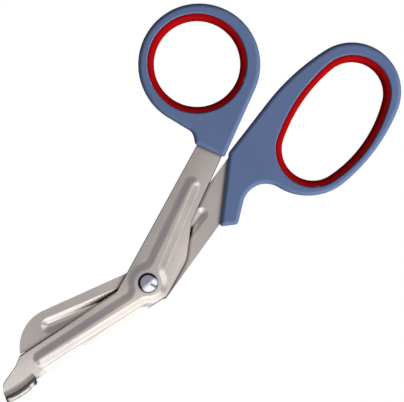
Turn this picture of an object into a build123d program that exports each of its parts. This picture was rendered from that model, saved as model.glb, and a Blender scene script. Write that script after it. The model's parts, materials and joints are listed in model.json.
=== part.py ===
from build123d import *
import os
import math

# Bandage scissors with bent blades, lying flat. Two pressed sheet steel halves cross at a domed rivet.
# Each half is drawn from the pivot at the origin, with +X up its shank to the handle and the contact
# plane of the two sheets at z = 0. Lengths are in millimetres and angles in degrees.

# Sheets and their pressed ribs
sheet_thickness = 1.5
blade_gap = 0.1
rib_rise = 1.1
rib_flank_angle = 27.0
rib_crest_radius = 1.9
rib_foot_radius = 2.0
rib_junction_radius = 2.5
groove_floor_radius = 0.9
groove_rim_radius = 1.0
edge_break = 0.25
edge_break_angle = 45.0
inner_corner_radius = 0.5
cut_overrun = 1.0
fillet_limit_share = 0.9
near_enough = 0.01
edge_sample_shares = (0.1, 0.5, 0.9)
sharp_turn_share = 0.1
cut_depth = 20.0

# Ground cutting edges
bevel_width = 0.55
edge_land = 0.12

# Heel and waist of the shanks, alike in both halves
heel_end = 14.4
waist_start = 27.4
heel_curve_radius = 12.0
heel_corner_radius = 0.8

# Where the mouldings take hold of the two shanks
thumb_entry_reach = 54.8
finger_entry_reach = 56.9

# Front half: the lower blade of the pair, with the foot
front_bend_angle = 27.8
front_outer_offset = 8.7
front_edge_offset = 3.8
front_edge_reach = 54.65
front_back_offset_at_foot = 7.0
front_heel_offset = 8.6
front_heel_start = -1.1
front_waist_offset = 3.3
front_top_offset = 1.3
front_shank_run = 2.2
front_shank_reach = thumb_entry_reach + front_shank_run
front_boss_margin = 1.3
front_boss_radius = front_heel_offset - front_boss_margin
front_shank_rib_margin = 14.9
front_shank_rib_reach = thumb_entry_reach - front_shank_rib_margin
front_shank_rib_end_radius = 2.75
front_shank_rib_end_offset = 3.2
front_shank_rib_root = 3.5
front_shank_rib_root_radius = 3.7
front_shank_rib_root_offset = 0.25
front_blade_rib_margin = 5.75
front_blade_rib_reach = front_edge_reach - front_blade_rib_margin
front_blade_rib_end_radius = 2.75
front_blade_rib_end_offset = -1.6
front_blade_rib_root = 3.0
front_blade_rib_root_radius = 3.2
front_blade_rib_root_offset = -2.35

# Relief ground along the back of the front blade
relief_start_reach = 7.5
relief_start_offset = 6.0
relief_end_margin = 4.5
relief_end_offset = 5.0
relief_width = 5.0
relief_end_run = 8.7
relief_depth = 0.6
relief_angle = 13.0

# Tip and upturned foot of the front blade
tip_neck_length = 4.05
tip_neck_reach = front_edge_reach + tip_neck_length
tip_neck_offset = 1.1
tip_neck_radius = 8.0
tip_nose_length = 9.0
tip_nose_reach = tip_neck_reach + tip_nose_length
tip_nose_offset = 2.2
tip_nose_radius = 5.4
foot_length = 13.1
foot_reach = tip_nose_reach - foot_length
foot_face_offset = 9.1
foot_blank_margin = 0.2
foot_blank_offset = foot_face_offset + foot_blank_margin
foot_bow_radius = 34.0
foot_corner_radius = 1.6
foot_height = 6.2
foot_end_radius = 4.0
foot_bend_radius = 3.0
foot_lip_radius = 0.5

# Rear half: the upper blade of the pair, with a plain round nose
rear_bend_angle = 29.9
rear_outer_offset = 8.85
rear_back_offset = 6.5
rear_edge_offset = 4.7
rear_edge_start = 10.0
rear_edge_reach = 54.5
rear_nose_corner_margin = 3.8
rear_nose_corner_reach = rear_edge_reach - rear_nose_corner_margin
rear_nose_radius = 14.8
rear_inner_offset = 3.5
rear_top_offset = 3.1
rear_heel_offset = 7.9
rear_heel_start = -1.0
rear_shank_margin = 4.9
rear_shank_reach = finger_entry_reach - rear_shank_margin
rear_boss_margin = 2.95
rear_boss_radius = rear_outer_offset - rear_boss_margin
rear_shank_rib_margin = 24.5
rear_shank_rib_reach = finger_entry_reach - rear_shank_rib_margin
rear_shank_rib_end_radius = 2.75
rear_shank_rib_end_offset = -1.1
rear_shank_rib_root = 2.4
rear_shank_rib_root_radius = 3.2
rear_shank_rib_root_offset = 0.6
rear_blade_rib_margin = 14.2
rear_blade_rib_reach = rear_edge_reach - rear_blade_rib_margin
rear_blade_rib_end_radius = 3.3
rear_blade_rib_end_offset = 0.5
rear_blade_rib_root = 2.5
rear_blade_rib_root_radius = 3.1
rear_blade_rib_root_offset = -0.1

# Domed rivet and the washer under its peened tail
rivet_radius = 2.0
rivet_head_radius = 3.65
rivet_head_height = 1.6
rivet_head_rim = 0.3
rivet_tail_radius = 3.0
rivet_tail_height = 0.8
rivet_tail_edge = 0.3
rivet_seat_clearance = 0.03
rivet_running_clearance = 0.05
washer_radius = 3.7
washer_thickness = 0.5
washer_gap = 0.05

# Moulded handles and the ring inserts in their loops
handle_thickness = 9.0
handle_edge_radius = 1.6
insert_width = 2.4
insert_recess = 0.5
insert_edge_radius = 1.9
insert_clearance = 0.04
seat_edge = 0.4

# Thumb handle, carried by the front half
thumb_hole_radius = 16.1
thumb_wall = 4.2
thumb_ring_run = 25.5
thumb_ring_reach = thumb_entry_reach + thumb_ring_run
thumb_ring_offset = 22.25
thumb_ring_radius = thumb_hole_radius + insert_width + thumb_wall
thumb_hole_shift = 0.95
thumb_hole_offset = thumb_ring_offset + thumb_hole_shift
thumb_entry_slant = 1.0
thumb_entry_outer_reach = thumb_entry_reach - thumb_entry_slant
thumb_entry_outer_offset = 9.5
thumb_entry_inner_offset = -2.45
thumb_neck_run = 2.4
thumb_neck_reach = thumb_entry_reach + thumb_neck_run
thumb_neck_offset = 12.4
thumb_neck_radius = 4.0
thumb_corner_radius = 0.8
front_tang_run = 21.2
front_tang_reach = thumb_entry_reach + front_tang_run
front_tang_root_inner = 0.5
front_tang_root_outer = 7.4
front_tang_end_inner = 1.1
front_tang_end_outer = 3.7
tang_corner_radius = 1.0
lock_hole_radius = 1.1
front_lock_hole_run = 7.2
front_lock_hole_reach = thumb_entry_reach + front_lock_hole_run
front_lock_hole_offset = 3.7

# Finger handle, carried by the rear half
finger_hole_near_radius = 11.6
finger_hole_far_radius = 11.7
finger_hole_upper_radius = 60.0
finger_hole_lower_radius = 47.0
finger_near_wall = 6.6
finger_far_wall = 4.2
finger_near_run = 21.0
finger_near_offset = -17.2
finger_far_run = 45.1
finger_far_offset = -19.7
finger_outer_near = (finger_entry_reach + finger_near_run, finger_near_offset)
finger_outer_near_radius = finger_hole_near_radius + insert_width + finger_near_wall
finger_outer_far = (finger_entry_reach + finger_far_run, finger_far_offset)
finger_outer_far_radius = finger_hole_far_radius + insert_width + finger_far_wall
finger_outer_upper_radius = 85.0
finger_outer_lower_radius = 68.0
finger_hole_near_shift = (-1.7, -3.4)
finger_hole_far_shift = (-0.2, -0.5)
finger_entry_offset = 4.1
finger_entry_slant = 24.3
finger_entry_outer_offset = -9.3
finger_heel_slant = 19.7
finger_heel_offset = -14.3
finger_corner_radius = 0.8
finger_heel_radius = 1.6
finger_scallop_radius = 8.9
finger_scallop_angle = 4.0
rear_tang_run = 27.1
rear_tang_reach = finger_entry_reach + rear_tang_run
rear_tang_root_run = 0.1
rear_tang_root_reach = finger_entry_reach + rear_tang_root_run
rear_tang_root_inner = 2.0
rear_tang_end_inner = 1.3
rear_tang_end_outer = -2.0
rear_lock_hole_run = 3.1
rear_lock_hole_reach = finger_entry_reach + rear_lock_hole_run
rear_lock_hole_offset = -2.4

# Rest pose: how far each shank is turned from the overall length, as the pair lies in use
front_turn = 19.8
rear_turn = 12.6


def bent(reach, offset, bend_angle):
    """Turn a point given along the blade into the frame of its shank."""
    return Vector(-reach, offset).rotate(Axis.Z, -bend_angle)


def bend_reach(blade_offset, shank_offset, bend_angle):
    """Find where along the shank an edge of the blade crosses an edge of the shank."""
    bend = math.radians(bend_angle)
    return (blade_offset - shank_offset * math.cos(bend)) / math.sin(bend)


def closed_outline(corners):
    """Make a face from (point, corner radius) rows, in order round the outline."""
    points = [point for point, radius in corners]
    radii = [radius for point, radius in corners]
    return make_face(FilletPolyline(*points, radius=radii, close=True))


def tapered_bar(root, root_radius, end, end_radius):
    """Make the outline of a rib: a round end and a round root joined by their common tangents."""
    root = Vector(*root)
    end = Vector(*end)
    span = end - root
    lean = math.degrees(math.acos((root_radius - end_radius) / span.length))
    sides = []
    for side in (lean, -lean):
        direction = span.normalized().rotate(Axis.Z, side)
        sides.append((root + direction * root_radius, end + direction * end_radius))
    (root_left, end_left), (root_right, end_right) = sides
    bar = make_face(Polyline(root_right, end_right, end_left, root_left, close=True))
    return bar + Pos(root) * Circle(root_radius) + Pos(end) * Circle(end_radius)


def bow_centre(near, near_reach, far, far_reach, side):
    """Find the point at the two given distances from near and far, on one side of their line."""
    span = far - near
    along = (near_reach ** 2 - far_reach ** 2 + span.length ** 2) / (2 * span.length)
    across = math.sqrt(near_reach ** 2 - along ** 2)
    direction = span.normalized()
    return near + direction * along + direction.rotate(Axis.Z, side * 90) * across


def touch_point(point, centre, radius, side):
    """Find where the line from a point touches a circle, on the left (1) or the right (-1) of its centre."""
    span = centre - point
    lean = math.degrees(math.asin(radius / span.length))
    reach = math.sqrt(span.length ** 2 - radius ** 2)
    return point + span.normalized().rotate(Axis.Z, side * lean) * reach


def arc_about(centre, start, stop, side):
    """Draw the arc from start to stop about a centre: the short way (1) or the long way round (-1)."""
    middle = (start + stop - centre * 2).normalized() * (start - centre).length
    return ThreePointArc(start, centre + middle * side, stop)


def bow_ends(near, near_radius, far, far_radius, bow_radius, side):
    """Find the centre of a bowed side and the points where it touches its two round ends."""
    centre = bow_centre(near, bow_radius - near_radius, far, bow_radius - far_radius, side)
    start = near + (near - centre).normalized() * near_radius
    stop = far + (far - centre).normalized() * far_radius
    return centre, start, stop


def oval(near, near_radius, far, far_radius, upper_radius, lower_radius):
    """Make an oval of two round ends and two long bowed sides, each tangent to the next."""
    upper, upper_near, upper_far = bow_ends(near, near_radius, far, far_radius, upper_radius, -1)
    lower, lower_near, lower_far = bow_ends(near, near_radius, far, far_radius, lower_radius, 1)
    return make_face(
        Wire([
            arc_about(near, upper_near, lower_near, 1),
            arc_about(lower, lower_near, lower_far, 1),
            arc_about(far, lower_far, upper_far, 1),
            arc_about(upper, upper_far, upper_near, 1),
        ])
    )


def prism(plane, outline, length):
    """Extrude an outline drawn on a plane along the plane's own normal."""
    return extrude(plane * outline, amount=length, dir=plane.z_dir)


def sharp_corners(face):
    """List the corners where two sides of a face meet at an angle."""
    corners = ShapeList()
    for vertex in face.vertices():
        tangents = []
        for edge in face.edges():
            for end in (0, 1):
                if (edge @ end - Vector(*vertex)).length < near_enough:
                    tangents.append(edge % end)
        if len(tangents) == 2 and tangents[0].cross(tangents[1]).length > sharp_turn_share:
            corners.append(vertex)
    return corners


def rib_prism(outline, rise, flank_angle):
    """Raise an outline with leaning flanks, as the press leaves them."""
    face = outline.faces()[0]
    return extrude(face, amount=rise, taper=90 - flank_angle)


def rib_plan(boss_radius, bars, inset):
    """Join the boss round the rivet with its bars, all drawn in by the same inset."""
    plan = Circle(boss_radius - inset)
    for root, root_radius, end, end_radius in bars:
        plan = plan + tapered_bar(root, root_radius - inset, end, end_radius - inset)
    return fillet(sharp_corners(plan), rib_junction_radius + inset)


def edges_along(solid, outline, height):
    """List a solid's edges that follow an outline at a height."""
    raised = Pos(0, 0, height) * outline
    return ShapeList(
        edge for edge in solid.edges()
        if max(raised.wires()[0].distance_to(edge @ share) for share in edge_sample_shares) < near_enough
    )


def flat_fillet(radius, narrowest):
    """Limit the fillet at the top of a flank to the flat that the narrowest bar leaves there."""
    flat = narrowest - rib_rise / math.tan(math.radians(rib_flank_angle))
    return min(radius, fillet_limit_share * flat / math.tan(math.radians(rib_flank_angle / 2)))


def broken_plate(blank):
    """Make a flat plate from a blank, the sharp edge round its outside broken."""
    core = extrude(blank, amount=sheet_thickness - edge_break)
    brow = extrude(blank.faces()[0], amount=edge_break, taper=edge_break_angle)
    return core + Pos(0, 0, sheet_thickness - edge_break) * brow


def pressed_sheet(plate, boss_radius, bars):
    """Press ribs into a flat plate: a ridge outside and a groove as deep on the contact side."""
    inset = sheet_thickness * math.tan(math.radians(rib_flank_angle / 2))
    narrowest = min(min(root_radius, end_radius) for root, root_radius, end, end_radius in bars)
    ridge_plan = rib_plan(boss_radius, bars, 0)
    ridge = rib_prism(ridge_plan, rib_rise, rib_flank_angle)
    ridge = fillet(ridge.edges().group_by(Axis.Z)[-1], flat_fillet(rib_crest_radius, narrowest))
    sheet = plate + Pos(0, 0, sheet_thickness) * ridge
    sheet = fillet(edges_along(sheet, ridge_plan, sheet_thickness), rib_foot_radius)
    groove_plan = rib_plan(boss_radius, bars, inset)
    groove = rib_prism(groove_plan, rib_rise, rib_flank_angle)
    groove = fillet(groove.edges().group_by(Axis.Z)[-1], flat_fillet(groove_floor_radius, narrowest - inset))
    sheet = sheet - groove
    return fillet(edges_along(sheet, groove_plan, 0), groove_rim_radius)


def ground_edge(edge_offset, start, stop):
    """Make the wedge that grinds a cutting edge to a thin land, along the blade from start to stop."""
    inner = edge_offset - math.copysign(bevel_width, edge_offset)
    outer = edge_offset + math.copysign(cut_overrun, edge_offset)
    top = sheet_thickness + cut_overrun
    profile = make_face(
        Polyline(
            (edge_offset, edge_land),
            (inner, sheet_thickness),
            (inner, top),
            (outer, top),
            (outer, edge_land),
            close=True,
        )
    )
    return Pos(-stop, 0, 0) * prism(Plane.YZ, profile, stop - start)


def tip_corners(near_reach):
    """List the corners round the tip, from the cutting edge's end to the foot's side at a given reach."""
    return [
        (bent(front_edge_reach, front_edge_offset, front_bend_angle), 0),
        (bent(tip_neck_reach, tip_neck_offset, front_bend_angle), tip_neck_radius),
        (bent(tip_nose_reach, -tip_nose_offset, front_bend_angle), tip_nose_radius),
        (bent(tip_nose_reach, -foot_blank_offset, front_bend_angle), foot_corner_radius),
        (bent(near_reach, -foot_blank_offset, front_bend_angle), 0),
    ]


def front_blank():
    """Draw the flat outline of the front half: tang, shank, heel and blade, wide where the foot stands."""
    step_reach = foot_reach + cut_overrun
    bend_corner = (bend_reach(front_edge_offset, front_outer_offset, front_bend_angle), front_outer_offset)
    return closed_outline([
        (bend_corner, inner_corner_radius),
        *tip_corners(step_reach),
        (bent(step_reach, -front_back_offset_at_foot, front_bend_angle), inner_corner_radius),
        ((front_heel_start, -front_heel_offset), heel_corner_radius),
        ((heel_end, -front_heel_offset), heel_curve_radius),
        ((waist_start, -front_waist_offset), heel_curve_radius),
        ((front_shank_reach, -front_top_offset), 0),
        ((front_shank_reach, front_tang_root_inner), inner_corner_radius),
        ((front_tang_reach, front_tang_end_inner), tang_corner_radius),
        ((front_tang_reach, front_tang_end_outer), tang_corner_radius),
        ((front_shank_reach, front_tang_root_outer), inner_corner_radius),
        ((front_shank_reach, front_outer_offset), 0),
    ])


def rear_blank():
    """Draw the flat outline of the rear half: tang, shank, heel and blade with its round nose."""
    heel = (bend_reach(rear_back_offset, rear_heel_offset, rear_bend_angle), rear_heel_offset)
    return closed_outline([
        (heel, heel_corner_radius),
        (bent(rear_nose_corner_reach, rear_back_offset, rear_bend_angle), rear_nose_radius),
        (bent(rear_edge_reach, -rear_edge_offset, rear_bend_angle), 0),
        (bent(rear_edge_start, -rear_edge_offset, rear_bend_angle), heel_curve_radius),
        ((rear_heel_start, -rear_outer_offset), heel_corner_radius),
        ((rear_shank_reach, -rear_outer_offset), 0),
        ((rear_tang_reach, rear_tang_end_outer), tang_corner_radius),
        ((rear_tang_reach, rear_tang_end_inner), tang_corner_radius),
        ((rear_tang_root_reach, rear_tang_root_inner), inner_corner_radius),
        ((rear_tang_root_reach, rear_top_offset), 0),
        ((waist_start, rear_inner_offset), heel_curve_radius),
        ((heel_end, rear_heel_offset), heel_curve_radius),
    ])


def back_relief():
    """Make the cutter for the shallow relief along the blade's back, running out at a slant at both ends."""
    start = relief_start_reach
    stop = foot_reach - relief_end_margin
    plan = make_face(
        Polyline(
            (-stop, -relief_end_offset),
            (-stop - relief_end_run, -relief_end_offset - relief_width),
            (relief_end_run - start, -relief_start_offset - relief_width),
            (-start, -relief_start_offset),
            close=True,
        )
    )
    cutter = mirror(rib_prism(plan, relief_depth, relief_angle), about=Plane.XY)
    return Rot(0, 0, -front_bend_angle) * Pos(0, 0, sheet_thickness) * cutter


def bowed_along_foot(section):
    """Turn a section through the foot's bow, over more than its whole length."""
    middle = -(foot_reach + tip_nose_reach) / 2
    centre_offset = foot_bow_radius - foot_face_offset
    half_turn = math.degrees(math.asin((foot_length / 2 + cut_overrun) / centre_offset))
    face = Rot(0, 0, -half_turn) * (Pos(0, -centre_offset, 0) * (Plane.YZ * section))
    bowed = revolve(face, axis=Axis.Z, revolution_arc=2 * half_turn)
    return Pos(middle, centre_offset, 0) * bowed


def foot_block(corner_radius):
    """Make the block that holds the foot, seen from the side, with its upper corners rounded."""
    side = closed_outline([
        ((-tip_nose_reach - cut_overrun, -cut_overrun), 0),
        ((-foot_reach, -cut_overrun), 0),
        ((-foot_reach, foot_height), corner_radius),
        ((-tip_nose_reach - cut_overrun, foot_height), corner_radius),
    ])
    return prism(Plane.XZ, side, foot_face_offset + cut_overrun)


def foot():
    """Bend the tip's sheet up into the blunt foot, rounded to the tip's outline and at both ends."""
    outer_bend_radius = foot_bend_radius + sheet_thickness
    root = outer_bend_radius - foot_face_offset + sheet_thickness
    inner_face = sheet_thickness - foot_face_offset
    section = closed_outline([
        ((-foot_face_offset, 0), outer_bend_radius),
        ((root, 0), 0),
        ((root, sheet_thickness), 0),
        ((inner_face, sheet_thickness), foot_bend_radius),
        ((inner_face, foot_height), foot_lip_radius),
        ((-foot_face_offset, foot_height), foot_lip_radius),
    ])
    bent_sheet = bowed_along_foot(section) & foot_block(foot_end_radius)
    near_reach = foot_reach - cut_overrun
    near_corner = bent(near_reach, front_edge_offset, front_bend_angle)
    plan = closed_outline([*tip_corners(near_reach), (near_corner, 0)])
    plan_block = extrude(plan, amount=foot_height + cut_overrun)
    return (Rot(0, 0, -front_bend_angle) * bent_sheet) & plan_block


def foot_clearing():
    """Make the block that takes the flat sheet away where the foot's bend stands."""
    outer = foot_face_offset + cut_overrun
    bend_start = foot_bend_radius + sheet_thickness - foot_face_offset
    section = make_face(
        Polyline(
            (-outer, -cut_overrun),
            (bend_start, -cut_overrun),
            (bend_start, foot_height),
            (-outer, foot_height),
            close=True,
        )
    )
    return Rot(0, 0, -front_bend_angle) * (bowed_along_foot(section) & foot_block(cut_overrun / 2))


def front_blade():
    """Make the front half in steel, its outside facing up, with its hole for the rivet."""
    bars = [
        (
            (front_shank_rib_root, front_shank_rib_root_offset),
            front_shank_rib_root_radius,
            (front_shank_rib_reach, front_shank_rib_end_offset),
            front_shank_rib_end_radius,
        ),
        (
            bent(front_blade_rib_root, front_blade_rib_root_offset, front_bend_angle),
            front_blade_rib_root_radius,
            bent(front_blade_rib_reach, front_blade_rib_end_offset, front_bend_angle),
            front_blade_rib_end_radius,
        ),
    ]
    blade = pressed_sheet(broken_plate(front_blank()) - back_relief(), front_boss_radius, bars)
    heel = Vector(bend_reach(front_edge_offset, front_outer_offset, front_bend_angle), front_outer_offset)
    edge_start = bevel_width - heel.rotate(Axis.Z, front_bend_angle).X
    edge_wedge = ground_edge(front_edge_offset, edge_start, front_edge_reach + cut_overrun)
    blade = blade - Rot(0, 0, -front_bend_angle) * edge_wedge
    blade = blade - foot_clearing() + foot()
    blade = blade - Cylinder(rivet_radius + rivet_seat_clearance, cut_depth)
    lock_hole = Pos(front_lock_hole_reach, front_lock_hole_offset, 0) * Cylinder(lock_hole_radius, cut_depth)
    return Pos(0, 0, blade_gap / 2) * (blade - lock_hole)


def rear_blade():
    """Make the rear half in steel, its outside facing down, with its running hole on the rivet."""
    bars = [
        (
            (rear_shank_rib_root, rear_shank_rib_root_offset),
            rear_shank_rib_root_radius,
            (rear_shank_rib_reach, rear_shank_rib_end_offset),
            rear_shank_rib_end_radius,
        ),
        (
            bent(rear_blade_rib_root, rear_blade_rib_root_offset, rear_bend_angle),
            rear_blade_rib_root_radius,
            bent(rear_blade_rib_reach, rear_blade_rib_end_offset, rear_bend_angle),
            rear_blade_rib_end_radius,
        ),
    ]
    blade = pressed_sheet(broken_plate(rear_blank()), rear_boss_radius, bars)
    edge_start = rear_edge_start + bevel_width
    edge_wedge = ground_edge(-rear_edge_offset, edge_start, rear_edge_reach + cut_overrun)
    blade = blade - Rot(0, 0, -rear_bend_angle) * edge_wedge
    blade = blade - Cylinder(rivet_radius + rivet_running_clearance, cut_depth)
    lock_hole = Pos(rear_lock_hole_reach, rear_lock_hole_offset, 0) * Cylinder(lock_hole_radius, cut_depth)
    return mirror(Pos(0, 0, blade_gap / 2) * (blade - lock_hole), about=Plane.XY)


def pivot_rivet():
    """Turn the rivet: a domed head on the front boss, a plain shank and a peened tail."""
    seat = blade_gap / 2 + sheet_thickness + rib_rise
    tail = seat + washer_gap + washer_thickness
    dome_radius = (rivet_head_radius ** 2 + rivet_head_height ** 2) / (2 * rivet_head_height)
    dome_centre = seat + rivet_head_rim + rivet_head_height - dome_radius
    crown = seat + rivet_head_rim + rivet_head_height
    rise = math.asin(rivet_head_radius / dome_radius) / 2
    dome_middle = (dome_radius * math.sin(rise), dome_centre + dome_radius * math.cos(rise))
    head_edge = (rivet_head_radius, seat + rivet_head_rim)
    profile = make_face(
        Wire([
            Line((0, crown), (0, -tail - rivet_tail_height)),
            Line((0, -tail - rivet_tail_height), (rivet_radius, -tail - rivet_tail_height)),
            Line((rivet_radius, -tail - rivet_tail_height), (rivet_tail_radius, -tail - rivet_tail_edge)),
            Line((rivet_tail_radius, -tail - rivet_tail_edge), (rivet_tail_radius, -tail)),
            Line((rivet_tail_radius, -tail), (rivet_radius, -tail)),
            Line((rivet_radius, -tail), (rivet_radius, seat)),
            Line((rivet_radius, seat), (rivet_head_radius, seat)),
            Line((rivet_head_radius, seat), head_edge),
            ThreePointArc(head_edge, dome_middle, (0, crown)),
        ])
    )
    return revolve(Plane.XZ * profile, axis=Axis.Z)


def pivot_washer():
    """Make the flat washer that the tail is peened over, just clear of the rear boss."""
    ring = Circle(washer_radius) - Circle(rivet_radius + rivet_seat_clearance)
    top = blade_gap / 2 + sheet_thickness + rib_rise + washer_gap
    return Pos(0, 0, -top - washer_thickness) * extrude(ring, amount=washer_thickness)


def moulded_handle(outline, seat, tang):
    """Mould a handle round a tang: a slab with rounded edges and a plain seat for its ring insert."""
    slab = extrude(outline, amount=handle_thickness / 2, both=True)
    slab = fillet(slab.faces().filter_by(Plane.XY).edges(), handle_edge_radius)
    seat_cut = extrude(seat, amount=handle_thickness / 2 + cut_overrun, both=True)
    slab = slab - seat_cut
    seat_edges = ShapeList(
        edges_along(slab, seat, handle_thickness / 2) + edges_along(slab, seat, -handle_thickness / 2)
    )
    return chamfer(seat_edges, seat_edge) - tang


def ring_insert(hole):
    """Mould the soft ring that lines a loop, crowned towards the fingers with a short straight land."""
    outer = offset(hole, amount=insert_width - insert_clearance)
    height = handle_thickness - 2 * insert_recess
    ring = extrude(outer - hole, amount=height / 2, both=True)
    crown = ShapeList(edges_along(ring, hole, height / 2) + edges_along(ring, hole, -height / 2))
    return fillet(crown, insert_edge_radius)


def thumb_hole():
    """Draw the thumb loop's clear hole."""
    return Pos(thumb_ring_reach, thumb_hole_offset) * Circle(thumb_hole_radius)


def thumb_outline():
    """Draw the thumb handle: a round loop whose neck leaves it on two tangents and takes the shank's end."""
    centre = Vector(thumb_ring_reach, thumb_ring_offset)
    entry_inner = Vector(thumb_entry_reach, thumb_entry_inner_offset)
    entry_outer = Vector(thumb_entry_outer_reach, thumb_entry_outer_offset)
    flank = Vector(thumb_neck_reach, thumb_neck_offset)
    inner_touch = touch_point(entry_inner, centre, thumb_ring_radius, -1)
    outer_touch = touch_point(flank, centre, thumb_ring_radius, 1)
    face = make_face(
        Wire([
            Line(entry_inner, inner_touch),
            arc_about(centre, inner_touch, outer_touch, -1),
            Line(outer_touch, flank),
            Line(flank, entry_outer),
            Line(entry_outer, entry_inner),
        ])
    )
    face = fillet(face.vertices().sort_by_distance(flank)[0], thumb_neck_radius)
    entries = [face.vertices().sort_by_distance(corner)[0] for corner in (entry_inner, entry_outer)]
    return fillet(entries, thumb_corner_radius)


def finger_hole():
    """Draw the finger loop's clear hole, a long oval."""
    near = Vector(*finger_outer_near) + Vector(*finger_hole_near_shift)
    far = Vector(*finger_outer_far) + Vector(*finger_hole_far_shift)
    return oval(
        near,
        finger_hole_near_radius,
        far,
        finger_hole_far_radius,
        finger_hole_upper_radius,
        finger_hole_lower_radius,
    )


def finger_outline():
    """Draw the finger handle: a long loop, a neck on the slanted end of the shank and a scallop below it."""
    near = Vector(*finger_outer_near)
    far = Vector(*finger_outer_far)
    near_radius = finger_outer_near_radius
    far_radius = finger_outer_far_radius
    upper_radius = finger_outer_upper_radius
    lower_radius = finger_outer_lower_radius
    upper, upper_near, upper_far = bow_ends(near, near_radius, far, far_radius, upper_radius, -1)
    lower, lower_near, lower_far = bow_ends(near, near_radius, far, far_radius, lower_radius, 1)
    towards_scallop = Vector(-1, 0).rotate(Axis.Z, finger_scallop_angle)
    scallop = near + towards_scallop * (near_radius + finger_scallop_radius)
    loop_touch = near + towards_scallop * near_radius
    heel = Vector(finger_entry_reach - finger_heel_slant, finger_heel_offset)
    brow_touch = touch_point(heel, scallop, finger_scallop_radius, 1)
    entry_inner = Vector(finger_entry_reach, finger_entry_offset)
    entry_outer = Vector(finger_entry_reach - finger_entry_slant, finger_entry_outer_offset)
    face = make_face(
        Wire([
            Line(heel, brow_touch),
            arc_about(scallop, brow_touch, loop_touch, 1),
            arc_about(near, loop_touch, lower_near, 1),
            arc_about(lower, lower_near, lower_far, 1),
            arc_about(far, lower_far, upper_far, 1),
            arc_about(upper, upper_far, upper_near, 1),
            Line(upper_near, entry_inner),
            Line(entry_inner, entry_outer),
            Line(entry_outer, heel),
        ])
    )
    face = fillet(face.vertices().sort_by_distance(heel)[0], finger_heel_radius)
    entries = [face.vertices().sort_by_distance(corner)[0] for corner in (entry_inner, entry_outer)]
    return fillet(entries, finger_corner_radius)


def scissors():
    """Make every piece and lay the pair in its rest pose, its underside at z = 0 about the middle."""
    front = Rot(0, 0, front_turn)
    rear = Rot(0, 0, rear_turn)
    front_steel = front_blade()
    rear_steel = rear_blade()
    thumb_clear = thumb_hole()
    finger_clear = finger_hole()
    thumb_seat = offset(thumb_clear, amount=insert_width)
    finger_seat = offset(finger_clear, amount=insert_width)
    pieces = {
        "front_blade": front * front_steel,
        "rear_blade": rear * rear_steel,
        "pivot_rivet": front * pivot_rivet(),
        "pivot_washer": front * pivot_washer(),
        "thumb_handle": front * moulded_handle(thumb_outline(), thumb_seat, front_steel),
        "finger_handle": rear * moulded_handle(finger_outline(), finger_seat, rear_steel),
        "thumb_ring_insert": front * ring_insert(thumb_clear),
        "finger_ring_insert": rear * ring_insert(finger_clear),
    }
    whole = Compound(children=[piece.solids()[0] for piece in pieces.values()]).bounding_box()
    base = Pos(-whole.center().X, -whole.center().Y, -whole.min.Z)
    return base, {name: base * piece for name, piece in pieces.items()}


base, pieces = scissors()
os.makedirs("parts", exist_ok=True)
for name, piece in pieces.items():
    export_step(piece, f"parts/{name}.step")
print("pivot at", base.position)
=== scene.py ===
"""Bandage scissors lying flat on a pale floor, seen from straight above.

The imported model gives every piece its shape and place. This script gives the pieces their finishes, and
sets the floor, the studio lights and the camera of the photograph. Lengths are in metres unless a name
ends in _mm, and a name that ends in _deg is an angle in degrees.
"""

import json
import logging
import math
from dataclasses import dataclass
from enum import Enum

import bpy
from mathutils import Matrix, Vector

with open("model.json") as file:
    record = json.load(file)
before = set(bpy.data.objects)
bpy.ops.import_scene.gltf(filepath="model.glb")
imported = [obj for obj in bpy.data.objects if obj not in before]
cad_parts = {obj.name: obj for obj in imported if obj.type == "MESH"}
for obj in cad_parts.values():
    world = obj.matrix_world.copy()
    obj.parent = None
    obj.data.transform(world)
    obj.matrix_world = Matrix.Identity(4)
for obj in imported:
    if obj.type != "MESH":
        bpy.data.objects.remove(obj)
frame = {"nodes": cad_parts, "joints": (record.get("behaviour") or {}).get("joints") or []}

MM = 0.001
LOG = logging.getLogger("bandage_scissors")
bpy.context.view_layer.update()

# The middle of the hinge, as the pair lies at rest. The steel's grain turns there, and the mouldings' parting
# line runs at its height.
PIVOT = Vector(frame["joints"][0]["pos_m"])

# The lowest and highest values that a noise pattern usually reaches
NOISE_LOW = 0.3
NOISE_HIGH = 0.7

# The share of open air over a surface where the painted gap shade is darkest, and where it is gone
GAP_SHUT = 0.42
GAP_OPEN = 0.92
GAP_SAMPLES = 8

# The photograph: the length that it takes in, the way that is up in it, and where its middle lies
PHOTO_FIELD = 0.1507
PHOTO_UP_DEG = 48.5
PHOTO_MIDDLE = Vector((0.0082, -0.0157))
CAMERA_HEIGHT = 0.7


class Half(Enum):
    """The two bodies that the rivet joins."""

    THUMB = "thumb_half"
    FINGER = "finger_half"


def linear(hex_colour: str) -> tuple[float, float, float, float]:
    """Turn an sRGB hex colour into linear light.

    Args:
        hex_colour: Six hex digits, with or without a leading hash.

    Returns:
        Red, green, blue and an alpha of one.
    """
    digits = hex_colour.lstrip("#")
    shares = [int(digits[place:place + 2], 16) / 255 for place in (0, 2, 4)]
    red, green, blue = [
        share / 12.92 if share <= 0.04045 else ((share + 0.055) / 1.055) ** 2.4 for share in shares
    ]
    return red, green, blue, 1.0


def image_direction(angle_deg: float) -> Vector:
    """Give the level direction that shows in the picture at an angle from its right-hand side.

    Args:
        angle_deg: Degrees counter-clockwise from the picture's right.

    Returns:
        A unit vector in the model's frame.
    """
    angle = math.radians(PHOTO_UP_DEG - 90 + angle_deg)
    return Vector((math.cos(angle), math.sin(angle), 0))


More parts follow.
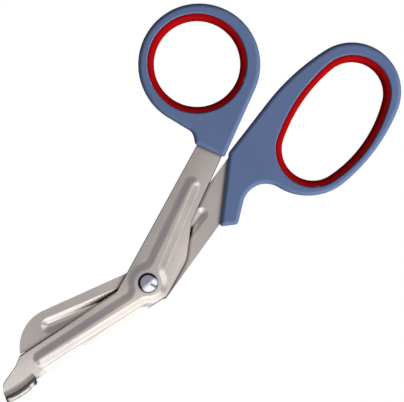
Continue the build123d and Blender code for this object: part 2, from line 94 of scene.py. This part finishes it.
def add_node(
    tree: bpy.types.NodeTree,
    kind: str,
    settings: dict[str | int, object],
    links: dict[str | int, bpy.types.NodeSocket],
) -> bpy.types.Node:
    """Add a node, set its properties and inputs, and link what feeds it.

    Args:
        tree: The node tree that takes the node.
        kind: The node's Blender type.
        settings: Property names or input names (or numbers) with their values.
        links: Input names (or numbers) with the output sockets that feed them.

    Returns:
        The new node.
    """
    node = tree.nodes.new(kind)
    for name, value in settings.items():
        if isinstance(name, str) and hasattr(node, name):
            setattr(node, name, value)
        else:
            node.inputs[name].default_value = value
    for name, socket in links.items():
        tree.links.new(socket, node.inputs[name])
    return node


def new_material(name: str) -> tuple[bpy.types.Material, bpy.types.NodeTree]:
    """Make an empty node material.

    Args:
        name: The material's name.

    Returns:
        The material and its node tree.
    """
    material = bpy.data.materials.new(name)
    material.use_nodes = True
    material.node_tree.nodes.clear()
    return material, material.node_tree


def paint_gap_shade(
    tree: bpy.types.NodeTree, colour: bpy.types.NodeSocket, reach_mm: float, gap_shade: str
) -> bpy.types.NodeSocket:
    """Darken a colour where the surface is shut in: shade painted into a narrow gap.

    Args:
        tree: The material's node tree.
        colour: The socket with the clean colour.
        reach_mm: How near the other surface has to be.
        gap_shade: The painted shade's colour at the bottom of a gap.

    Returns:
        The socket with the darkened colour.
    """
    openness = add_node(
        tree,
        "ShaderNodeAmbientOcclusion",
        {"Distance": reach_mm * MM, "samples": GAP_SAMPLES},
        {},
    )
    unshaded_share = add_node(
        tree,
        "ShaderNodeMapRange",
        {"From Min": GAP_SHUT, "From Max": GAP_OPEN},
        {"Value": openness.outputs["AO"]},
    )
    return add_node(
        tree,
        "ShaderNodeMix",
        {"data_type": "RGBA", "A": linear(gap_shade)},
        {"Factor": unshaded_share.outputs["Result"], "B": colour},
    ).outputs["Result"]


def patchy_colour(
    tree: bpy.types.NodeTree, place: bpy.types.NodeSocket, colours: tuple[str, str], patch_mm: float
) -> bpy.types.NodeSocket:
    """Mix two near shades in broad soft patches, as a moulding has where its melt flowed.

    Args:
        tree: The material's node tree.
        place: The socket with the place on the object.
        colours: The two shades.
        patch_mm: How wide a patch is.

    Returns:
        The socket with the colour.
    """
    patch = add_node(
        tree,
        "ShaderNodeTexNoise",
        {"Scale": 1 / (patch_mm * MM), "Detail": 2.0},
        {"Vector": place},
    )
    return add_node(
        tree,
        "ShaderNodeMix",
        {"data_type": "RGBA", "A": linear(colours[0]), "B": linear(colours[1])},
        {"Factor": patch.outputs["Fac"]},
    ).outputs["Result"]


@dataclass(frozen=True)
class SatinSteel:
    """Stainless steel sheet, tumbled to a satin and finely brushed along each half.

    It gives the eye soft reflections, drawn out along the sheet, with faint warm and cool patches.
    """

    name: str
    shank_deg: float
    blade_deg: float
    warm: str = "#D3C7BE"
    cool: str = "#BDB7B3"
    # The sum of patch and grain where the steel is all warm, and where it is all cool
    warm_until: float = 0.7
    cool_from: float = 1.3
    patch_mm: float = 14.0
    roughness_low: float = 0.27
    roughness_high: float = 0.40
    # Real brush lines are about 0.05 mm wide. Drawn so fine they wouldn't show, so they are coarser here.
    grain_width_mm: float = 0.45
    grain_length_mm: float = 14.0
    grain_depth_mm: float = 1.0
    grain_height_mm: float = 0.003
    grain_strength: float = 0.6
    # How far from the hinge's middle the shank's grain has wholly taken over from the blade's
    bend_mm: float = 4.0
    # Shade painted into the colour in narrow gaps: how near another surface has to be, and the painted shade's
    # colour
    gap_mm: float = 1.7
    painted_gap_shade: str = "#1A1614"
    # A pressed sheet is never quite flat. The crown is the tilt in radians that each millimetre away from its
    # middle adds, and it changes reflections only. Near the tip its middle drifts sideways, as a twist does.
    shank_crown_per_mm: float = 0.0
    blade_crown_per_mm: float = 0.0
    crown_middle_mm: float = 3.0
    tip_twist: float = 0.0
    tip_twist_starts_mm: float = 30.0

    def make(self) -> bpy.types.Material:
        """Build the material, with the grain along the shank above the bend and the blade below it.

        Returns:
            The material.
        """
        material, tree = new_material(self.name)
        place = add_node(tree, "ShaderNodeTexCoord", {}, {}).outputs["Object"]
        shank_grain, shank_crown = self.follow(tree, place, self.shank_deg, self.shank_crown_per_mm, 0.0)
        blade_grain, blade_crown = self.follow(
            tree, place, self.blade_deg, self.blade_crown_per_mm, self.tip_twist
        )
        on_shank = add_node(
            tree,
            "ShaderNodeMapRange",
            {"From Min": PIVOT.x - self.bend_mm * MM, "From Max": PIVOT.x + self.bend_mm * MM},
            {"Value": add_node(tree, "ShaderNodeSeparateXYZ", {}, {"Vector": place}).outputs["X"]},
        ).outputs["Result"]
        grain, crown = [
            add_node(
                tree,
                "ShaderNodeMix",
                {"data_type": "FLOAT"},
                {"Factor": on_shank, "A": blade, "B": shank},
            ).outputs["Result"]
            for blade, shank in ((blade_grain, shank_grain), (blade_crown, shank_crown))
        ]
        patch = add_node(
            tree,
            "ShaderNodeTexNoise",
            {"Scale": 1 / (self.patch_mm * MM), "Detail": 3.0, "Roughness": 0.55},
            {"Vector": place},
        )
        streaks = add_node(
            tree,
            "ShaderNodeMath",
            {"operation": "ADD"},
            {0: patch.outputs["Fac"], 1: grain},
        )
        cool_share = add_node(
            tree,
            "ShaderNodeMapRange",
            {"From Min": self.warm_until, "From Max": self.cool_from},
            {"Value": streaks.outputs["Value"]},
        )
        colour = add_node(
            tree,
            "ShaderNodeMix",
            {"data_type": "RGBA", "A": linear(self.warm), "B": linear(self.cool)},
            {"Factor": cool_share.outputs["Result"]},
        )
        roughness = add_node(
            tree,
            "ShaderNodeMapRange",
            {
                "From Min": NOISE_LOW,
                "From Max": NOISE_HIGH,
                "To Min": self.roughness_low,
                "To Max": self.roughness_high,
            },
            {"Value": grain},
        )
        # The crown's height comes in metres, so it is taken as it is
        crowned = add_node(
            tree,
            "ShaderNodeBump",
            {"Strength": 1.0, "Distance": 1.0},
            {"Height": crown},
        )
        brushed = add_node(
            tree,
            "ShaderNodeBump",
            {"Strength": self.grain_strength, "Distance": self.grain_height_mm * MM},
            {"Height": grain, "Normal": crowned.outputs["Normal"]},
        )
        # The base colour carries painted shade in its narrow gaps
        surface = add_node(
            tree,
            "ShaderNodeBsdfPrincipled",
            {"Metallic": 1.0},
            {
                "Base Color": paint_gap_shade(tree, colour.outputs["Result"], self.gap_mm, self.painted_gap_shade),
                "Roughness": roughness.outputs["Result"],
                "Normal": brushed.outputs["Normal"],
            },
        )
        add_node(tree, "ShaderNodeOutputMaterial", {}, {"Surface": surface.outputs["BSDF"]})
        return material

    def follow(
        self,
        tree: bpy.types.NodeTree,
        place: bpy.types.NodeSocket,
        turn_deg: float,
        crown_per_mm: float,
        twist: float,
    ) -> tuple[bpy.types.NodeSocket, bpy.types.NodeSocket]:
        """Draw the grain and the crown of a shank or a blade along its own direction.

        Args:
            tree: The material's node tree.
            place: The socket with the place on the object.
            turn_deg: The direction that the grain runs in, seen from above.
            crown_per_mm: The tilt in radians that each millimetre from the crown's middle adds.
            twist: How far sideways the crown's middle drifts for each unit of length towards the tip.

        Returns:
            The sockets with the grain's noise and the crown's height in metres.
        """
        along = add_node(
            tree,
            "ShaderNodeMapping",
            {"vector_type": "TEXTURE", "Location": PIVOT, "Rotation": (0, 0, math.radians(turn_deg))},
            {"Vector": place},
        ).outputs["Vector"]
        sizes_mm = (self.grain_length_mm, self.grain_width_mm, self.grain_depth_mm)
        stretched = add_node(
            tree,
            "ShaderNodeVectorMath",
            {"operation": "MULTIPLY", 1: [1 / (size * MM) for size in sizes_mm]},
            {0: along},
        )
        grain = add_node(
            tree,
            "ShaderNodeTexNoise",
            {"Scale": 1.0, "Detail": 4.0, "Roughness": 0.6},
            {"Vector": stretched.outputs["Vector"]},
        )
        spot = add_node(tree, "ShaderNodeSeparateXYZ", {}, {"Vector": along})
        drift = add_node(
            tree,
            "ShaderNodeMath",
            {
                "operation": "MULTIPLY_ADD",
                "use_clamp": True,
                1: -twist,
                2: -twist * self.tip_twist_starts_mm * MM,
            },
            {0: spot.outputs["X"]},
        )
        beside_drift = add_node(
            tree,
            "ShaderNodeMath",
            {"operation": "SUBTRACT"},
            {0: spot.outputs["Y"], 1: drift.outputs["Value"]},
        )
        off_middle = add_node(
            tree,
            "ShaderNodeMath",
            {"operation": "SUBTRACT", 1: self.crown_middle_mm * MM},
            {0: beside_drift.outputs["Value"]},
        ).outputs["Value"]
        mean_tilt = add_node(
            tree,
            "ShaderNodeMath",
            {"operation": "MULTIPLY", 1: -crown_per_mm / MM / 2},
            {0: off_middle},
        )
        crown = add_node(
            tree,
            "ShaderNodeMath",
            {"operation": "MULTIPLY"},
            {0: mean_tilt.outputs["Value"], 1: off_middle},
        )
        return grain.outputs["Fac"], crown.outputs["Value"]


@dataclass(frozen=True)
class PolishedSteel:
    """A machined and polished steel rivet: clear, hard-edged reflections with hairline scratches."""

    name: str
    colour: str = "#C6C4CF"
    roughness: float = 0.07
    roughness_low_share: float = 0.7
    roughness_high_share: float = 1.4
    # Real hairlines are about 0.02 mm wide. They are drawn coarser, as a slight unevenness of the polish.
    scratch_mm: float = 0.35

    def make(self) -> bpy.types.Material:
        """Build the material.

        Returns:
            The material.
        """
        material, tree = new_material(self.name)
        place = add_node(tree, "ShaderNodeTexCoord", {}, {}).outputs["Object"]
        scratch = add_node(
            tree,
            "ShaderNodeTexNoise",
            {"Scale": 1 / (self.scratch_mm * MM), "Detail": 5.0, "Roughness": 0.7},
            {"Vector": place},
        )
        roughness = add_node(
            tree,
            "ShaderNodeMapRange",
            {
                "From Min": NOISE_LOW,
                "From Max": NOISE_HIGH,
                "To Min": self.roughness * self.roughness_low_share,
                "To Max": self.roughness * self.roughness_high_share,
            },
            {"Value": scratch.outputs["Fac"]},
        )
        surface = add_node(
            tree,
            "ShaderNodeBsdfPrincipled",
            {"Metallic": 1.0, "Base Color": linear(self.colour)},
            {"Roughness": roughness.outputs["Result"]},
        )
        add_node(tree, "ShaderNodeOutputMaterial", {}, {"Surface": surface.outputs["BSDF"]})
        return material


@dataclass(frozen=True)
class MouldedPlastic:
    """Polypropylene moulded in a finely sparked tool: satin, with a soft even grain.

    A fine raised line runs round each moulding at mid height, where the halves of the tool met.
    """

    name: str
    colours: tuple[str, str] = ("#5F7297", "#506388")
    patch_mm: float = 22.0
    roughness: float = 0.42
    ior: float = 1.49
    # Real spark grain is about 0.1 mm across, and a parting line about as wide. Both are drawn coarser to show.
    grain_mm: float = 0.35
    grain_height_mm: float = 0.012
    parting_width_mm: float = 0.5
    parting_height_mm: float = 0.08
    relief_strength: float = 0.5
    # Shade painted into the colour in narrow gaps: how near another surface has to be, and the painted shade's
    # colour
    gap_mm: float = 1.0
    gap_shade: str = "#1C2740"

    def make(self) -> bpy.types.Material:
        """Build the material.

        Returns:
            The material.
        """
        material, tree = new_material(self.name)
        place = add_node(tree, "ShaderNodeTexCoord", {}, {}).outputs["Object"]
        colour = patchy_colour(tree, place, self.colours, self.patch_mm)
        grain = add_node(
            tree,
            "ShaderNodeTexNoise",
            {"Scale": 1 / (self.grain_mm * MM), "Detail": 2.0, "Roughness": 0.5},
            {"Vector": place},
        )
        above_parting = add_node(
            tree,
            "ShaderNodeMath",
            {"operation": "SUBTRACT", 1: PIVOT.z},
            {0: add_node(tree, "ShaderNodeSeparateXYZ", {}, {"Vector": place}).outputs["Z"]},
        )
        off_parting = add_node(
            tree,
            "ShaderNodeMath",
            {"operation": "ABSOLUTE"},
            {0: above_parting.outputs["Value"]},
        )
        parting = add_node(
            tree,
            "ShaderNodeMapRange",
            {
                "interpolation_type": "SMOOTHSTEP",
                "From Max": self.parting_width_mm * MM / 2,
                "To Min": self.parting_height_mm / self.grain_height_mm,
                "To Max": 0.0,
            },
            {"Value": off_parting.outputs["Value"]},
        )
        raised = add_node(
            tree,
            "ShaderNodeMath",
            {"operation": "ADD"},
            {0: grain.outputs["Fac"], 1: parting.outputs["Result"]},
        )
        relief = add_node(
            tree,
            "ShaderNodeBump",
            {"Strength": self.relief_strength, "Distance": self.grain_height_mm * MM},
            {"Height": raised.outputs["Value"]},
        )
        # The base colour carries painted shade in its narrow gaps
        surface = add_node(
            tree,
            "ShaderNodeBsdfPrincipled",
            {"Roughness": self.roughness, "IOR": self.ior},
            {
                "Base Color": paint_gap_shade(tree, colour, self.gap_mm, self.gap_shade),
                "Normal": relief.outputs["Normal"],
            },
        )
        add_node(tree, "ShaderNodeOutputMaterial", {}, {"Surface": surface.outputs["BSDF"]})
        return material


@dataclass(frozen=True)
class SoftRubber:
    """Thermoplastic rubber moulded in a smooth tool: full red, with a broad soft shine."""

    name: str
    colours: tuple[str, str] = ("#A20205", "#900104")
    patch_mm: float = 6.0
    roughness: float = 0.45
    shine: float = 0.08
    # Shade painted into the colour in narrow gaps: how near another surface has to be, and the painted shade's
    # colour
    gap_mm: float = 1.0
    gap_shade: str = "#2E0001"

    def make(self) -> bpy.types.Material:
        """Build the material.

        Returns:
            The material.
        """
        material, tree = new_material(self.name)
        place = add_node(tree, "ShaderNodeTexCoord", {}, {}).outputs["Object"]
        colour = patchy_colour(tree, place, self.colours, self.patch_mm)
        # The base colour carries painted shade in its narrow gaps
        surface = add_node(
            tree,
            "ShaderNodeBsdfPrincipled",
            {"Roughness": self.roughness, "Specular IOR Level": self.shine},
            {"Base Color": paint_gap_shade(tree, colour, self.gap_mm, self.gap_shade)},
        )
        add_node(tree, "ShaderNodeOutputMaterial", {}, {"Surface": surface.outputs["BSDF"]})
        return material


def dress_piece(half: Half, node: str, material: bpy.types.Material) -> None:
    """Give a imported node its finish.

    Args:
        half: The body that carries the node.
        node: The node's name.
        material: The finish.
    """
    piece = frame["nodes"][node]
    piece.data.materials.clear()
    piece.data.materials.append(material)
    LOG.info("%s: %s dressed in %s", half.value, node, material.name)


@dataclass
class ThumbHalf:
    """The half with the thumb loop, the footed lower blade and the rivet."""

    plastic: bpy.types.Material
    rubber: bpy.types.Material
    body: Half = Half.THUMB
    shank_deg: float = 19.8
    blade_deg: float = -8.0
    shank_crown_per_mm: float = 0.011
    blade_crown_per_mm: float = 0.013
    tip_twist: float = 0.2

    def dress(self) -> None:
        """Dress the half's nodes."""
        steel = SatinSteel(
            "satin_steel_front",
            self.shank_deg,
            self.blade_deg,
            shank_crown_per_mm=self.shank_crown_per_mm,
            blade_crown_per_mm=self.blade_crown_per_mm,
            tip_twist=self.tip_twist,
        ).make()
        polished = PolishedSteel("polished_rivet").make()
        for node, finish in (
            ("front_blade", steel),
            ("pivot_rivet", polished),
            ("pivot_washer", polished),
            ("thumb_handle", self.plastic),
            ("thumb_ring_insert", self.rubber),
        ):
            dress_piece(self.body, node, finish)


@dataclass
class FingerHalf:
    """The half with the finger loop and the plain upper blade."""

    plastic: bpy.types.Material
    rubber: bpy.types.Material
    body: Half = Half.FINGER
    shank_deg: float = 12.6
    blade_deg: float = -17.3

    def dress(self) -> None:
        """Dress the half's nodes."""
        steel = SatinSteel("satin_steel_rear", self.shank_deg, self.blade_deg).make()
        for node, finish in (
            ("rear_blade", steel),
            ("finger_handle", self.plastic),
            ("finger_ring_insert", self.rubber),
        ):
            dress_piece(self.body, node, finish)


@dataclass(frozen=True)
class SoftBox:
    """A rectangular studio light that faces the scissors."""

    name: str
    image_deg: float
    elevation_deg: float
    distance: float
    width: float
    height: float
    power: float
    mirrored: bool = True

    def build(self) -> None:
        """Hang the light and turn it to the middle of the picture."""
        data = bpy.data.lights.new(self.name, "AREA")
        data.shape = "RECTANGLE"
        data.size = self.width
        data.size_y = self.height
        data.energy = self.power
        light = bpy.data.objects.new(self.name, data)
        bpy.context.scene.collection.objects.link(light)
        rise = math.radians(self.elevation_deg)
        towards = image_direction(self.image_deg) * math.cos(rise) + Vector((0, 0, math.sin(rise)))
        light.location = Vector((*PHOTO_MIDDLE, 0)) + towards * self.distance
        light.visible_glossy = self.mirrored
        light.rotation_euler = towards.to_track_quat("Z", "Y").to_euler()
        LOG.info("light %s hung", self.name)


@dataclass
class Studio:
    """The pale floor, the lights and the surroundings that the steel mirrors.

    The walls are given by the direction that the steel mirrors. A wall's starts, full, ends, width and blend
    are that unit direction's height, or its lean to one side, on a scale up to 1.
    """

    floor_size: float = 3.0
    paper: str = "#4C4C50"
    # The dark skirt round the floor, the far walls and the ceiling over them
    skirt: str = "#0E0D10"
    skirt_starts_deg: float = 12.0
    skirt_ends_deg: float = 31.0
    shade: str = "#B3B4BE"
    ceiling: str = "#ADA8A6"
    ceiling_starts: float = 0.86
    ceiling_full: float = 0.985
    # The bright wall, and how much lower than the others it hangs
    key: str = "#F8FBFF"
    key_strength: float = 1.75
    key_deg: float = -50.0
    key_starts: float = -0.22
    key_full: float = 0.6
    key_reach: float = 0.3
    # The dark flag before the bright wall, which shows as a bar in the rivet's dome
    flag_deg: float = -27.0
    flag_half_width: float = 0.13
    flag_blend: float = 0.06
    flag_side_starts: float = 0.1
    flag_side_full: float = 0.4
    flag_top_starts: float = 0.84
    flag_top_ends: float = 0.95
    flag_light: float = 0.25
    # The share of the surroundings' light that falls on the matt pieces
    matt_share: float = 0.38

    def build(self) -> None:
        """Lay the floor, hang the lights and set the surroundings."""
        self.lay_floor()
        self.set_surround()
        for light in (
            SoftBox(
                "key_fill",
                image_deg=-38,
                elevation_deg=20,
                distance=0.9,
                width=0.5,
                height=0.3,
                power=10.8,
                mirrored=False,
            ),
            SoftBox(
                "key_bottom", image_deg=-80, elevation_deg=42, distance=0.9, width=0.3, height=0.3, power=0.3
            ),
            SoftBox(
                "key_right", image_deg=12, elevation_deg=42, distance=0.9, width=0.25, height=0.25, power=0.2
            ),
        ):
            light.build()

    def lay_floor(self) -> None:
        """Lay the floor under the scissors: white to the eye, mid grey in what the steel mirrors."""
        bpy.ops.object.select_all(action="DESELECT")
        bpy.ops.mesh.primitive_plane_add(size=self.floor_size)
        floor = bpy.context.object
        floor.name = "floor"
        material, tree = new_material("pale_floor")
        seen = add_node(tree, "ShaderNodeLightPath", {}, {}).outputs["Is Camera Ray"]
        paper = add_node(tree, "ShaderNodeBsdfDiffuse", {"Color": linear(self.paper)}, {})
        glow = add_node(tree, "ShaderNodeEmission", {"Color": (1, 1, 1, 1), "Strength": 1.0}, {})
        mixed = add_node(
            tree,
            "ShaderNodeMixShader",
            {},
            {"Fac": seen, 1: paper.outputs["BSDF"], 2: glow.outputs["Emission"]},
        )
        add_node(tree, "ShaderNodeOutputMaterial", {}, {"Surface": mixed.outputs["Shader"]})
        floor.data.materials.append(material)
        LOG.info("floor laid")

    def set_surround(self) -> None:
        """Set the surroundings: white behind the floor, and for the steel a grey tent, dark at its skirt."""
        world = bpy.data.worlds.new("studio_surround")
        world.use_nodes = True
        tree = world.node_tree
        tree.nodes.clear()
        ray = add_node(tree, "ShaderNodeLightPath", {}, {})
        direction = add_node(tree, "ShaderNodeTexCoord", {}, {}).outputs["Generated"]
        height = add_node(tree, "ShaderNodeSeparateXYZ", {}, {"Vector": direction}).outputs["Z"]
        towards_key, towards_flag, beside_flag = [
            add_node(
                tree,
                "ShaderNodeVectorMath",
                {"operation": "DOT_PRODUCT", 1: image_direction(angle_deg)},
                {0: direction},
            ).outputs["Value"]
            for angle_deg in (self.key_deg, self.flag_deg, self.flag_deg + 90)
        ]
        key_share = add_node(
            tree,
            "ShaderNodeMapRange",
            {"interpolation_type": "SMOOTHSTEP", "From Min": self.key_starts, "From Max": self.key_full},
            {"Value": towards_key},
        ).outputs["Result"]
        lit_share = add_node(
            tree,
            "ShaderNodeMath",
            {"operation": "MULTIPLY"},
            {
                0: self.above_skirt(tree, height, key_share),
                1: self.past_flag(tree, height, towards_flag, beside_flag),
            },
        )
        dark = add_node(tree, "ShaderNodeBackground", {"Color": linear(self.skirt)}, {})
        mirrored = add_node(
            tree,
            "ShaderNodeMixShader",
            {},
            {
                "Fac": lit_share.outputs["Value"],
                1: dark.outputs["Background"],
                2: self.hang_tent(tree, height, key_share),
            },
        )
        withheld = add_node(
            tree,
            "ShaderNodeMath",
            {"operation": "MULTIPLY", 1: 1 - self.matt_share},
            {0: ray.outputs["Is Diffuse Ray"]},
        )
        unlit = add_node(tree, "ShaderNodeBackground", {"Strength": 0.0}, {})
        surround = add_node(
            tree,
            "ShaderNodeMixShader",
            {},
            {
                "Fac": withheld.outputs["Value"],
                1: mirrored.outputs["Shader"],
                2: unlit.outputs["Background"],
            },
        )
        backdrop = add_node(tree, "ShaderNodeBackground", {"Color": (1, 1, 1, 1)}, {})
        mixed = add_node(
            tree,
            "ShaderNodeMixShader",
            {},
            {
                "Fac": ray.outputs["Is Camera Ray"],
                1: surround.outputs["Shader"],
                2: backdrop.outputs["Background"],
            },
        )
        add_node(tree, "ShaderNodeOutputWorld", {}, {"Surface": mixed.outputs["Shader"]})
        bpy.context.scene.world = world
        bpy.context.scene.view_settings.view_transform = "Standard"
        LOG.info("surroundings set")

    def above_skirt(
        self, tree: bpy.types.NodeTree, height: bpy.types.NodeSocket, key_share: bpy.types.NodeSocket
    ) -> bpy.types.NodeSocket:
        """Measure how far a direction is above the dark skirt, which is lower under the bright wall.

        Args:
            tree: The world's node tree.
            height: The socket with the direction's height.
            key_share: The socket with the bright wall's share in the direction.

        Returns:
            The socket with the share, from 0 in the skirt to 1 above it.
        """
        raised = add_node(
            tree,
            "ShaderNodeMath",
            {"operation": "MULTIPLY_ADD", 1: self.key_reach},
            {0: key_share, 2: height},
        )
        return add_node(
            tree,
            "ShaderNodeMapRange",
            {
                "interpolation_type": "SMOOTHSTEP",
                "From Min": math.sin(math.radians(self.skirt_starts_deg)),
                "From Max": math.sin(math.radians(self.skirt_ends_deg)),
            },
            {"Value": raised.outputs["Value"]},
        ).outputs["Result"]

    def past_flag(
        self,
        tree: bpy.types.NodeTree,
        height: bpy.types.NodeSocket,
        towards_flag: bpy.types.NodeSocket,
        beside_flag: bpy.types.NodeSocket,
    ) -> bpy.types.NodeSocket:
        """Measure how much light comes past the dark flag from a direction.

        Args:
            tree: The world's node tree.
            height: The socket with the direction's height.
            towards_flag: The socket with how far the direction leans towards the flag.
            beside_flag: The socket with how far it leans to the flag's side.

        Returns:
            The socket with the share, from the flag's own light to 1 clear of it.
        """
        off_flag = add_node(tree, "ShaderNodeMath", {"operation": "ABSOLUTE"}, {0: beside_flag})
        clear_share = add_node(
            tree,
            "ShaderNodeMapRange",
            {
                "interpolation_type": "SMOOTHSTEP",
                "From Min": self.flag_half_width,
                "From Max": self.flag_half_width + self.flag_blend,
                "To Min": self.flag_light,
                "To Max": 1.0,
            },
            {"Value": off_flag.outputs["Value"]},
        )
        on_its_side = add_node(
            tree,
            "ShaderNodeMapRange",
            {
                "interpolation_type": "SMOOTHSTEP",
                "From Min": self.flag_side_starts,
                "From Max": self.flag_side_full,
            },
            {"Value": towards_flag},
        )
        below_its_top = add_node(
            tree,
            "ShaderNodeMapRange",
            {
                "interpolation_type": "SMOOTHSTEP",
                "From Min": self.flag_top_starts,
                "From Max": self.flag_top_ends,
                "To Min": 1.0,
                "To Max": 0.0,
            },
            {"Value": height},
        )
        flag_share = add_node(
            tree,
            "ShaderNodeMath",
            {"operation": "MULTIPLY"},
            {0: on_its_side.outputs["Result"], 1: below_its_top.outputs["Result"]},
        )
        return add_node(
            tree,
            "ShaderNodeMix",
            {"data_type": "FLOAT", "A": 1.0},
            {"Factor": flag_share.outputs["Value"], "B": clear_share.outputs["Result"]},
        ).outputs["Result"]

    def hang_tent(
        self, tree: bpy.types.NodeTree, height: bpy.types.NodeSocket, key_share: bpy.types.NodeSocket
    ) -> bpy.types.NodeSocket:
        """Hang the far walls, the ceiling and the bright wall.

        Args:
            tree: The world's node tree.
            height: The socket with the direction's height.
            key_share: The socket with the bright wall's share in the direction.

        Returns:
            The socket with the tent's light.
        """
        top_share = add_node(
            tree,
            "ShaderNodeMapRange",
            {
                "interpolation_type": "SMOOTHSTEP",
                "From Min": self.ceiling_starts,
                "From Max": self.ceiling_full,
            },
            {"Value": height},
        )
        far_colour = add_node(
            tree,
            "ShaderNodeMix",
            {"data_type": "RGBA", "A": linear(self.shade), "B": linear(self.ceiling)},
            {"Factor": top_share.outputs["Result"]},
        )
        far_wall = add_node(tree, "ShaderNodeBackground", {}, {"Color": far_colour.outputs["Result"]})
        bright_wall = add_node(
            tree,
            "ShaderNodeBackground",
            {"Color": linear(self.key), "Strength": self.key_strength},
            {},
        )
        return add_node(
            tree,
            "ShaderNodeMixShader",
            {},
            {
                "Fac": key_share,
                1: far_wall.outputs["Background"],
                2: bright_wall.outputs["Background"],
            },
        ).outputs["Shader"]


@dataclass
class PhotoCamera:
    """The photograph's camera, straight above the scissors."""

    sensor_mm: float = 36.0
    nearest_share: float = 0.1

    def build(self) -> None:
        """Make the camera, turned so that the photograph's up is up."""
        reach = CAMERA_HEIGHT - PIVOT.z
        data = bpy.data.cameras.new("photo_camera")
        data.sensor_width = self.sensor_mm
        data.lens = self.sensor_mm * reach / PHOTO_FIELD
        data.clip_start = reach * self.nearest_share
        camera = bpy.data.objects.new("photo_camera", data)
        bpy.context.scene.collection.objects.link(camera)
        camera.location = (*PHOTO_MIDDLE, CAMERA_HEIGHT)
        camera.rotation_euler = (0, 0, math.radians(PHOTO_UP_DEG - 90))
        bpy.context.scene.camera = camera
        LOG.info("camera set")


def main() -> None:
    """Dress both halves, then set the studio and the camera."""
    logging.basicConfig(level=logging.INFO)
    plastic = MouldedPlastic("slate_blue_moulding").make()
    rubber = SoftRubber("red_soft_rubber").make()
    ThumbHalf(plastic, rubber).dress()
    FingerHalf(plastic, rubber).dress()
    Studio().build()
    PhotoCamera().build()


if __name__ == "__main__":
    main()
